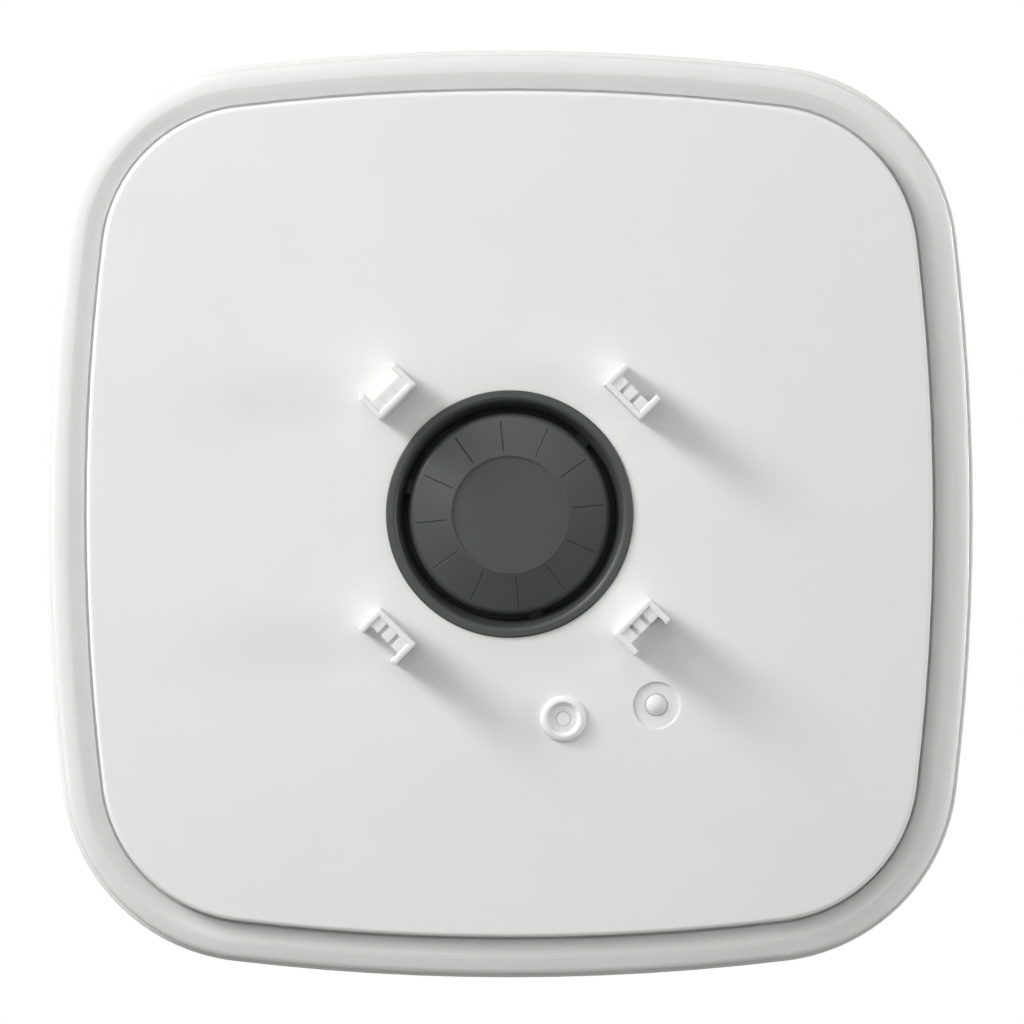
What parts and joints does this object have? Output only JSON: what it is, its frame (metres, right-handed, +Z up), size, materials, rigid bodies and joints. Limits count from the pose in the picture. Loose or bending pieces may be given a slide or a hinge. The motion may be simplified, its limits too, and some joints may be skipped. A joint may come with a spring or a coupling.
{
  "type": "outdoor alarm siren",
  "caption": "White wall-mounted alarm siren with a translucent light frame, a dark round horn, clip posts for a front cap, and a hook-on wall bracket",
  "frame": {"origin": "middle of the mounting bracket's back face, on the wall", "axes": "+Z up the wall, the front faces -Y, +X to the right seen from the front"},
  "size_m": [0.2, 0.0512, 0.2],
  "materials": {
    "cover_white": "fine matt moulded white",
    "housing_white": "fine matt moulded white",
    "frame_white": "satin translucent white",
    "reflector_white": "bright white",
    "bracket_white": "matt moulded white",
    "horn_grey": "satin dark grey",
    "chamber_black": "matt black",
    "pipe_clear": "milky",
    "seal_rubber": "matt",
    "gland_rubber": "matt",
    "button_white": "satin white",
    "button_black": "satin black",
    "switch_black": "satin black",
    "screw_steel": "zinc plated",
    "spring_steel": "bright drawn",
    "contact_steel": "nickel plated",
    "insert_brass": "turned",
    "piezo_brass": "rolled",
    "ceramic_white": "fired, silvered",
    "board_green": "solder mask",
    "light_board_white": "white solder mask",
    "chip_black": "moulded resin",
    "lamp_chip": "clear resin over phosphor",
    "shield_tin": "tin plated",
    "transformer_yellow": "tape and ferrite",
    "capacitor_can": "sleeved can",
    "terminal_green": "satin",
    "tray_black": "matt",
    "cell_sleeve": "printed sleeve, left plain",
    "connector_white": "satin",
    "wire_red": "smooth insulation",
    "wire_black": "smooth insulation",
    "membrane_film": "thin film",
    "vent_grey": "matt"
  },
  "bodies": {
    "bracket": {"mounting_bracket": "bracket_white"},
    "lock": {"lock_screw": "screw_steel"},
    "tamper": {"tamper_plunger": "button_black"},
    "power": {"power_button": "button_black"},
    "front": {"front_button": "button_white"},
    "siren": {"lock_insert": "insert_brass", "rear_housing": "housing_white", "perimeter_seal": "seal_rubber", "light_frame": "frame_white", "light_reflector": "reflector_white", "front_cover": "cover_white", "horn_bezel": "horn_grey", "horn_cap": "horn_grey", "horn_gasket": "seal_rubber", "acoustic_membrane": "membrane_film", "siren_chamber": "chamber_black", "chamber_screws": "screw_steel", "piezo_plate": "piezo_brass", "piezo_ceramic": "ceramic_white", "piezo_lead_red": "wire_red", "piezo_lead_black": "wire_black", "main_board": "board_green", "board_screws": "screw_steel", "radio_shield": "shield_tin", "processor_chip": "chip_black", "step_up_transformer": "transformer_yellow", "storage_capacitor": "capacitor_can", "terminal_block": "terminal_green", "terminal_screws": "screw_steel", "antenna_left": "shield_tin", "antenna_right": "shield_tin", "battery_connector": "connector_white", "indicator_lamp": "lamp_chip", "light_pipe": "pipe_clear", "front_switch": "switch_black", "front_button_spring": "spring_steel", "tamper_switch": "switch_black", "tamper_spring": "spring_steel", "power_switch": "switch_black", "battery_tray": "tray_black", "battery_clamp": "tray_black", "battery_contacts": "contact_steel", "battery_springs": "spring_steel", "battery_lead_red": "wire_red", "battery_lead_black": "wire_black", "case_screws": "screw_steel", "cable_gland": "gland_rubber", "vent_plug": "vent_grey", "battery_cell_1": "cell_sleeve", "battery_cell_2": "cell_sleeve", "battery_cell_3": "cell_sleeve", "battery_cell_4": "cell_sleeve", "light_board_top": "light_board_white", "light_chips_top": "lamp_chip", "light_board_left": "light_board_white", "light_chips_left": "lamp_chip", "light_board_bottom": "light_board_white", "light_chips_bottom": "lamp_chip", "light_board_right": "light_board_white", "light_chips_right": "lamp_chip"}
  },
  "joints": [
    {"name": "siren_lift", "type": "slide", "parent": "bracket", "child": "siren", "axis": [0, 0, 1], "range_m": [0, 0.009]},
    {"name": "lock_screw_out", "type": "slide", "parent": "bracket", "child": "lock", "axis": [0, 0, -1], "range_m": [0, 0.009]},
    {"name": "tamper_press", "type": "slide", "parent": "siren", "child": "tamper", "axis": [0, -1, 0], "range_m": [0, 0.002], "stiffness_N_per_m": 300, "springref_m": -0.001, "deforming": ["tamper_spring"]},
    {"name": "power_press", "type": "slide", "parent": "siren", "child": "power", "axis": [0, -1, 0], "range_m": [0, 0.0008], "stiffness_N_per_m": 800, "springref_m": -0.0005},
    {"name": "front_press", "type": "slide", "parent": "siren", "child": "front", "axis": [0, 1, 0], "range_m": [0, 0.0012], "stiffness_N_per_m": 400, "springref_m": -0.001, "deforming": ["front_button_spring"]}
  ]
}
